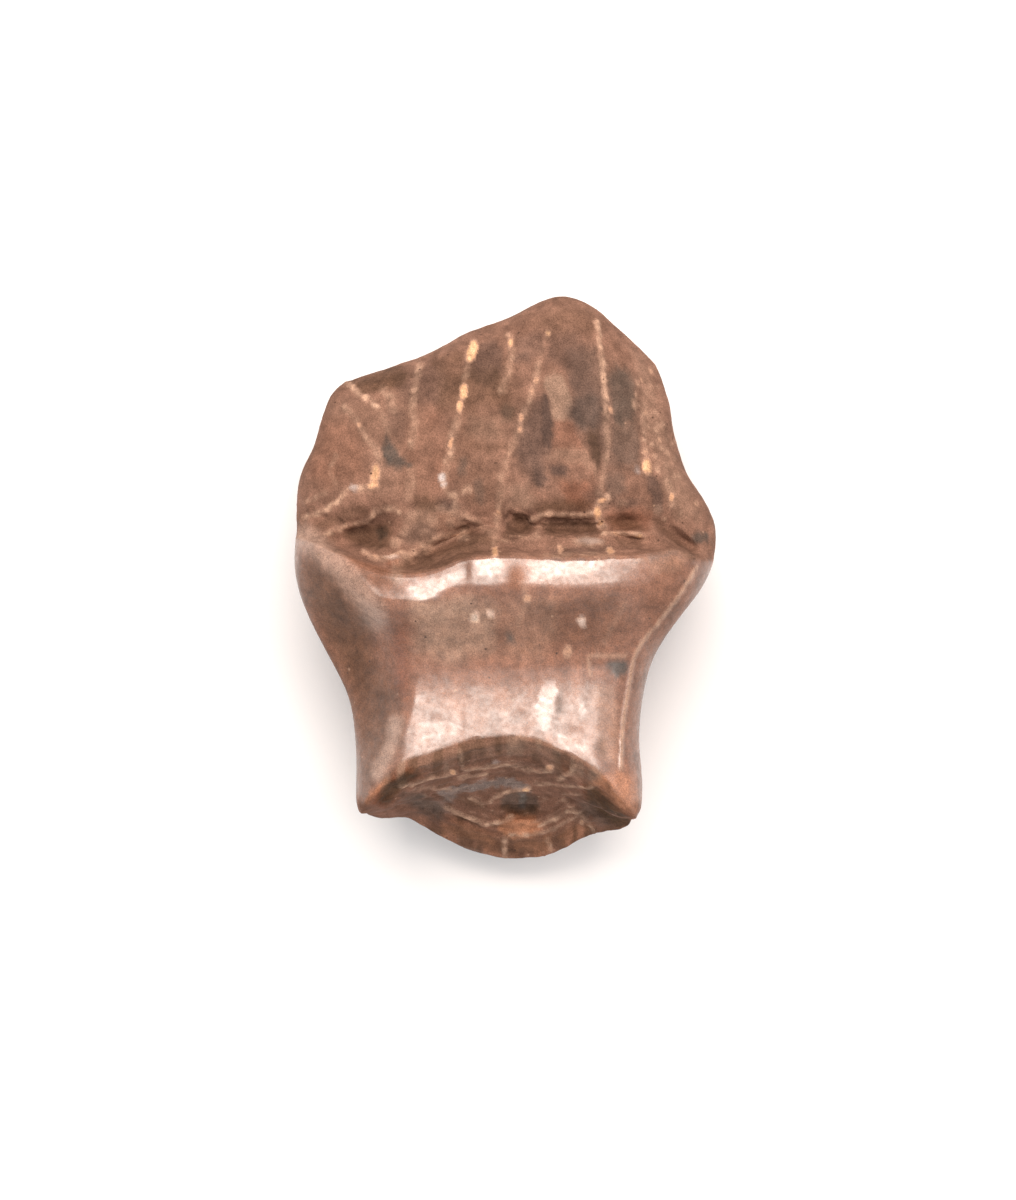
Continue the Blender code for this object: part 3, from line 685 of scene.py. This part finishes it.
def refine(piece, wanted, smallest):
    """Divides the faces whose vertices are all wanted, and which are larger than the smallest area."""
    with editing(piece) as mesh:
        large = [face for face in mesh.faces if face.calc_area() > smallest]
        faces = [face for face in large if all(wanted[vertex.index] for vertex in face.verts)]
        edges = {edge for face in faces for edge in face.edges}
        rounded = {"use_grid_fill": True, "smooth": DIVIDED_ROUNDNESS}
        bmesh.ops.subdivide_edges(mesh, edges=list(edges), cuts=1, **rounded)
        between_two = [vertex for vertex in mesh.verts if len(vertex.link_edges) == 2]
        bmesh.ops.dissolve_verts(mesh, verts=between_two)
        bmesh.ops.triangulate(mesh, faces=[face for face in mesh.faces if len(face.verts) > 4])


class Surface:
    """The tooth's surface while its relief and its finish are worked out."""

    def __init__(self, piece):
        self.mesh = piece.data
        self.places = from_vertices(piece, "co")
        self.normals = from_vertices(piece, "normal")
        self.facing = ramp(self.normals[:, 2], FACING_START, FACING_FULL)
        self.make_patterns()
        self.find_zones()
        self.relief = np.zeros(len(self.places))
        self.lift = np.zeros(len(self.places))
        self.masks = {}

    def make_patterns(self):
        """Random waves, and the pixels strayed in three ways."""
        self.pixels = seen(self.places)
        wide, narrow = (
            np.stack([wander(self.places, size, seed), wander(self.places, size, seed + 1)], axis=1)
            for size, seed in (WIDE_WAVE, NARROW_WAVE)
        )
        self.swaying, self.shivering, self.ragged = (
            self.pixels + with_wide * wide + with_narrow * narrow
            for with_wide, with_narrow in (SWAYING, SHIVERING, RAGGED)
        )
        self.uneven = 0.5 + 0.5 * wander(self.places, *UNEVEN_WAVE)
        self.gaps = ramp(wander(self.places, *GAP_WAVE), -0.42, 0.12)
        self.beads = ramp(wander(self.places, *BEAD_WAVE), -0.05, 0.45)
        self.coarse, self.rough, self.fine = (
            wander(self.places, *wave) for wave in (COARSE_WAVE, ROUGH_WAVE, FINE_WAVE)
        )

    def find_zones(self):
        """How much each place is break or root, and how far it is from their edges."""
        along = -self.places[:, 1]
        self.depth_in_break = depth_within(self.pixels, BREAK_OUTLINE, BREAK_REACH)
        end_on = ramp(-self.normals[:, 1], *BREAK_TURN) * ramp(along, *BREAK_START)
        self.broken = np.maximum(ramp(self.depth_in_break, -BREAK_EDGE, BREAK_EDGE) * self.facing, end_on)
        self.above_lip = above_lip(self.pixels)
        below_lip = ramp(-self.above_lip, *LIP_EDGE)
        hidden_root = ramp(self.places[:, 1], *HIDDEN_LIP)
        self.root = np.where(self.facing > 0, below_lip, hidden_root) * (1 - self.broken)

    def add(self, name, strength):
        """Adds to a mask, where the stronger value stays."""
        self.masks[name] = np.maximum(self.masks.get(name, 0.0), strength)

    def show(self, name, strength):
        """Adds to a mask where the photograph shows the surface."""
        self.add(name, self.facing * strength)

    def push(self):
        """Moves the surface by its relief along its normals, and by its lift straight up."""
        moved = self.places + self.normals * (self.relief - SUNK)[:, None]
        moved[:, 2] += self.lift * self.facing
        self.mesh.vertices.foreach_set("co", moved.ravel())
        self.mesh.update()

    def store(self):
        for name, strength in self.masks.items():
            layer = self.mesh.attributes.new(name, "FLOAT", "POINT")
            layer.data.foreach_set("value", np.clip(strength, 0, 1).astype(np.float32))


def draw_lines(surface):
    """Cracks, rims, growth layers, the root's lines and the facet's painted sheens."""
    filling = FILLING + FILLING_PARTS * surface.gaps + FILLING_BEADS * surface.beads
    for half_width, rise, paleness, points in CRACKS + STEP_RIMS + BREAK_LINES:
        strength = line(surface.shivering, points, half_width * LINE_SPREAD)
        surface.relief += rise * strength * surface.facing
        surface.show("pale", paleness * strength * filling)
    # The root's lines, and the painted highlights of the sheens
    for half_width, rise, paleness, points in ROOT_LINES + PAINTED_SHEENS:
        strength = line(surface.shivering, points, half_width)
        surface.lift += rise * strength
        surface.show("pale", paleness * strength * (ROOT_LINE + ROOT_LINE_UNEVEN * surface.uneven))
    # Painted highlight: the sheens also get a bluish white frost
    for half_width, _, paleness, points in PAINTED_SHEENS:
        surface.show("frost", PAINTED_SHEEN_FROST * paleness * line(surface.shivering, points, half_width))


def draw_patches(surface):
    """Pockets with their dirt and painted shade, and the coloured patches, some of them painted shade and
    highlights.
    """
    for depth, darkness, outline in POCKETS:
        strength = patch(surface.shivering, outline, POCKET_SOFTNESS)
        surface.lift -= depth * strength
        # Dirt and painted shade darken the pockets
        surface.show("umber", darkness * strength * (0.65 + 0.35 * surface.uneven))
    for colour, table in PATCHES.items():
        for strength, softness, outline in table:
            shape = patch(surface.ragged, outline, PATCH_SOFTNESS * softness)
            surface.show(colour, strength * shape * (0.85 + 0.35 * surface.uneven))


def scatter_specks(surface):
    draw = np.random.default_rng(SPECK_SEED)
    for _ in range(SPECKS):
        place = draw.normal()
        across = SPECK_MIDDLE[0] + SPECK_SLANT * place + SPECK_SPREAD[0] * draw.normal()
        along = SPECK_MIDDLE[1] + SPECK_SPREAD[1] * place
        half_width, half_length = draw.uniform(*SPECK_SIZE, 2)
        shape = (across, along, half_width, half_length, draw.uniform(*SPECK_TURN))
        surface.show("pale", draw.uniform(*SPECK_PALENESS) * oval(surface.shivering, *shape))


def raise_crystals(surface):
    """Knobs, crystals with their painted glints, and the collar's swellings."""
    knobs = ovals(surface.swaying, KNOBS) * surface.facing
    crystals = ovals(surface.shivering, CRYSTALS_AND_GLINTS) * surface.facing
    swellings = ovals(surface.swaying, SWELLINGS)
    surface.lift += KNOB_HEIGHT * knobs + CRYSTAL_HEIGHT * crystals + swellings
    surface.add("pale", knobs)
    # Crystals with painted glints: pale edge, orange glow and bright core
    surface.add("pale", 0.8 * ramp(crystals, *CRYSTAL_EDGE))
    surface.add("glow", ramp(crystals, *CRYSTAL_GLOW))
    surface.add("crystal_and_glint", ramp(crystals, *CRYSTAL_CORE) * (0.60 + 0.60 * surface.beads))
    surface.show("frost", ovals(surface.shivering, FROSTS_AND_GLINTS))


def layer_break(surface):
    """Growth layers over the break, with painted shade in their hollows and painted light on their crests,
    and columns in its outer band.
    """
    depth = surface.depth_in_break
    wave = np.sin((depth + LAYER_WAVER * surface.coarse) * (2 * math.pi / LAYER_SPACING))
    relief_share = surface.gaps * ramp(depth, *LAYER_RELIEF_FROM) * surface.facing
    surface.relief += LAYER_HEIGHT * wave * relief_share
    layered = LAYER_STRENGTH * surface.broken * ramp(depth, *LAYER_COLOUR_FROM)
    # Painted shade in the layers' hollows and painted light on their crests
    surface.show("umber", layered * ramp(-wave, 0.1, 0.9) * surface.gaps)
    surface.show("pale", layered * ramp(wave, 0.4, 1.0) * surface.beads)
    columns = wander(surface.places * COLUMN_STRETCH, *COLUMN_WAVE)
    for reach, fade, (dark, darkness), (light, lightness) in BREAK_BANDS:
        band = surface.broken * (1 - ramp(depth, *reach)) * ramp(surface.pixels[:, 1], *fade)
        surface.add(dark, band * darkness * ramp(columns, 0.0, 0.35))
        surface.add(light, band * lightness * ramp(-columns, 0.0, 0.40))


def polish_root(surface):
    """Polish of the collar and the root, uneven as wear leaves it."""
    dulled = ovals(surface.shivering, DULLED) * surface.facing
    polish = ROOT_POLISH * (0.8 + 0.4 * surface.uneven) * (1 - dulled)
    for strength, outline in POLISHED:
        shine = strength * patch(surface.ragged, outline, POLISH_SOFTNESS) * (0.8 + 0.4 * surface.beads)
        polish = np.maximum(polish, shine * surface.facing)
    surface.add("polish", surface.root * polish)


def roughen(surface):
    """The stone's grain: coarse on the crown, rough in the step and the break, slight on the root."""
    above = surface.above_lip
    crown = (1 - surface.root) * (1 - surface.broken)
    chipped = ramp(above, 0, STEP_START) * ramp(above, STEP_HEIGHT, STEP_HEIGHT - STEP_FADE) * surface.facing
    zones = (crown, chipped, surface.root, surface.broken)
    for zone, heights in zip(zones, (CROWN_GRAIN, STEP_GRAIN, ROOT_GRAIN, BREAK_GRAIN)):
        waves = zip(heights, (surface.coarse, surface.rough, surface.fine))
        surface.relief += zone * sum(height * wave for height, wave in waves)


def work_surface(piece):
    """Gives the surface its small relief and its masks."""
    surface = Surface(piece)
    draw_lines(surface)
    draw_patches(surface)
    scatter_specks(surface)
    raise_crystals(surface)
    layer_break(surface)
    blotches = ramp(wander(surface.places, *HIDDEN_WAVE), *BLOTCH_EDGE)
    surface.add("mauve", (1 - surface.facing) * BLOTCH_STRENGTH * blotches)
    polish_root(surface)
    surface.add("root", surface.root)
    surface.add("broken", surface.broken)
    roughen(surface)
    surface.push()
    surface.store()


def put(tree, value, socket):
    """Links another node's output to a socket, or sets a plain value on it."""
    if isinstance(value, bpy.types.NodeSocket):
        tree.links.new(value, socket)
    else:
        socket.default_value = value


def add_node(tree, kind, **inputs):
    """A shader node with its inputs."""
    node = tree.nodes.new(kind)
    for name, value in inputs.items():
        put(tree, value, node.inputs[name.replace("_", " ")])
    return node


def mask(tree, name):
    node = tree.nodes.new("ShaderNodeAttribute")
    node.attribute_name = name
    return node.outputs["Fac"]


def grain(tree, place, per_mm, detail):
    pattern = {"Scale": per_mm / MM, "Detail": detail, "Distortion": 0.4}
    return add_node(tree, "ShaderNodeTexNoise", Vector=place, **pattern).outputs["Fac"]


def between(tree, value, low, high, from_low, from_high):
    """A value stretched from one range to another, and held within it."""
    ends = {"From_Min": from_low, "From_Max": from_high, "To_Min": low, "To_Max": high}
    return add_node(tree, "ShaderNodeMapRange", Value=value, **ends).outputs["Result"]


def shade(tree, place, per_mm, detail, *ends):
    """Noise between two values."""
    return between(tree, grain(tree, place, per_mm, detail), *ends)


def blend(tree, share, first, second):
    """Two colours mixed, each a colour or another node's output."""
    node = tree.nodes.new("ShaderNodeMix")
    node.data_type = "RGBA"
    put(tree, share, node.inputs[0])
    for index, value in ((6, first), (7, second)):
        put(tree, (*value, 1.0) if isinstance(value, tuple) else value, node.inputs[index])
    return node.outputs[2]


def calculate(tree, kind, operation, first, second, slot=1):
    """A math node's result, with its second value in the given slot."""
    node = tree.nodes.new(kind)
    node.operation = operation
    put(tree, first, node.inputs[0])
    put(tree, second, node.inputs[slot])
    return node.outputs[0]


def flecks(tree, place, per_mm, size, share):
    """Small round dots scattered over the surface: 1 in a dot, 0 elsewhere."""
    cells = add_node(tree, "ShaderNodeTexVoronoi", Vector=place, Scale=per_mm / MM)
    dot = between(tree, cells.outputs["Distance"], 1.0, 0.0, size * 0.5, size)
    pick = add_node(tree, "ShaderNodeSeparateColor", Color=cells.outputs["Color"])
    chosen = between(tree, pick.outputs["Red"], 0.0, 1.0, 1 - share, 1 - share + 0.05)
    return calculate(tree, "ShaderNodeMath", "MULTIPLY", dot, chosen)


def stone_colour(tree, upright, place):
    """Two tones, the masks' tints, flecks, and noise that lightens and darkens."""
    mottle = shade(tree, place, *MOTTLE)
    crown = blend(tree, mottle, *CROWN_TONES)
    root = blend(tree, mottle, *ROOT_TONES)
    colour = blend(tree, mask(tree, "root"), crown, root)
    for name, tint in TINTS:
        colour = blend(tree, mask(tree, name), colour, tint)
    for per_mm, size, share, tint in FLECKS:
        colour = blend(tree, flecks(tree, place, per_mm, size, share), colour, tint)
    along = calculate(tree, "ShaderNodeVectorMath", "MULTIPLY", upright, STREAK_STRETCH)
    for where, noise_row in ((place, BLOTCHES), (place, CLOUDS), (along, STREAKS), (place, FINE_GRAIN)):
        level = shade(tree, where, *noise_row)
        colour = calculate(tree, "ShaderNodeVectorMath", "SCALE", colour, level, "Scale")
    return colour


def new_material(name):
    """A material with its node tree and its shader."""
    material = bpy.data.materials.new(name)
    material.use_nodes = True
    return material, material.node_tree, material.node_tree.nodes["Principled BSDF"]


def fossil_material():
    material, tree, shader = new_material("brown_fossil_surface")
    upright = tree.nodes.new("ShaderNodeTexCoord").outputs["Object"]
    place = add_node(tree, "ShaderNodeMapping", Vector=upright, Rotation=PATTERN_TURN).outputs["Vector"]
    polish = mask(tree, "polish")
    bumps = grain(tree, place, *BUMPS)
    bump = add_node(tree, "ShaderNodeBump", Height=bumps, Strength=0.35, Distance=0.00001)
    coat = calculate(tree, "ShaderNodeMath", "MULTIPLY", polish, shade(tree, place, *WORN_SHINE))
    for name, value in (
        ("Base Color", stone_colour(tree, upright, place)),
        ("Roughness", between(tree, polish, DULL, SMOOTH, 0.0, 1.0)),
        ("Coat Weight", coat),
        ("Coat Roughness", 0.20),
        ("Coat IOR", 2.1),
        ("Specular IOR Level", 0.05),
        ("Normal", bump.outputs["Normal"]),
    ):
        put(tree, value, shader.inputs[name])
    return material


def pale_floor():
    mesh = bpy.data.meshes.new("floor")
    half = FLOOR_HALF_WIDTH
    corners = [(-half, -half, 0), (half, -half, 0), (half, half, 0), (-half, half, 0)]
    mesh.from_pydata(corners, [], [(0, 1, 2, 3)])
    floor = add_to_scene("floor", mesh)
    material, _, shader = new_material("pale_floor")
    shader.inputs["Base Color"].default_value = (0.90, 0.90, 0.90, 1)
    shader.inputs["Roughness"].default_value = 0.9
    shader.inputs["Specular IOR Level"].default_value = 0.2
    mesh.materials.append(material)


def soft_light(name, place, size, brightness, colour):
    """A rectangular light panel of a given brightness, turned towards the tooth."""
    light = bpy.data.lights.new(name, "AREA")
    light.shape = "RECTANGLE"
    light.size, light.size_y = size
    light.energy = brightness * math.pi * size[0] * size[1]
    light.color = colour
    lamp = add_to_scene(name, light)
    lamp.location = place
    lamp.rotation_euler = (Vector(LIGHT_TARGET) - Vector(place)).to_track_quat("-Z", "Y").to_euler()


def studio_light():
    world = bpy.data.worlds.new("studio")
    bpy.context.scene.world = world
    world.use_nodes = True
    background = world.node_tree.nodes["Background"]
    background.inputs["Color"].default_value = (1, 1, 1, 1)
    background.inputs["Strength"].default_value = SURROUND_BRIGHTNESS
    for panel in PANELS:
        soft_light(*panel)
    bpy.context.scene.view_settings.view_transform = "Standard"


def photo_camera():
    camera_data = bpy.data.cameras.new("photo_view")
    camera_data.lens = LENS
    camera_data.sensor_fit = "VERTICAL"
    camera_data.sensor_height = SENSOR_HEIGHT
    camera_data.clip_start = CLIP_START
    camera = add_to_scene("photo_view", camera_data)
    camera.location = Vector((*CAMERA_PLACE, SCALE_HEIGHT + CAMERA_DISTANCE)) * MM
    bpy.context.scene.camera = camera


def dressed_tooth(node):
    """The fossil's surface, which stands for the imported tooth."""
    piece = smooth_copy(node)
    round_corners(piece)
    refine(piece, from_vertices(piece, "normal")[:, 2] > NEARLY_SEEN, LARGE_FACE)
    visible = from_vertices(piece, "normal")[:, 2] > FACING_START
    refine(piece, visible & detail_zones(seen(from_vertices(piece, "co"))), DETAIL_FACE)
    smooth_ledge(piece)
    work_surface(piece)
    piece.data.transform(Matrix.Scale(MM, 4))
    for polygon in piece.data.polygons:
        polygon.use_smooth = True
    piece.data.materials.clear()
    piece.data.materials.append(fossil_material())
    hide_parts("tooth")
    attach(piece, "root")


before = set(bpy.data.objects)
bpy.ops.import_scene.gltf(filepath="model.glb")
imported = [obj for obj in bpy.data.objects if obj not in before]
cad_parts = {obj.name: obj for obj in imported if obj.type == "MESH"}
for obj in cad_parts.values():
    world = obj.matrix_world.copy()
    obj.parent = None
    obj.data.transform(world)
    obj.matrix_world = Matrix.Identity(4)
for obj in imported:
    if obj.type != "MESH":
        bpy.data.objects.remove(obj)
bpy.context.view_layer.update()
photo_camera()
dressed_tooth(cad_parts["tooth"])
pale_floor()
studio_light()
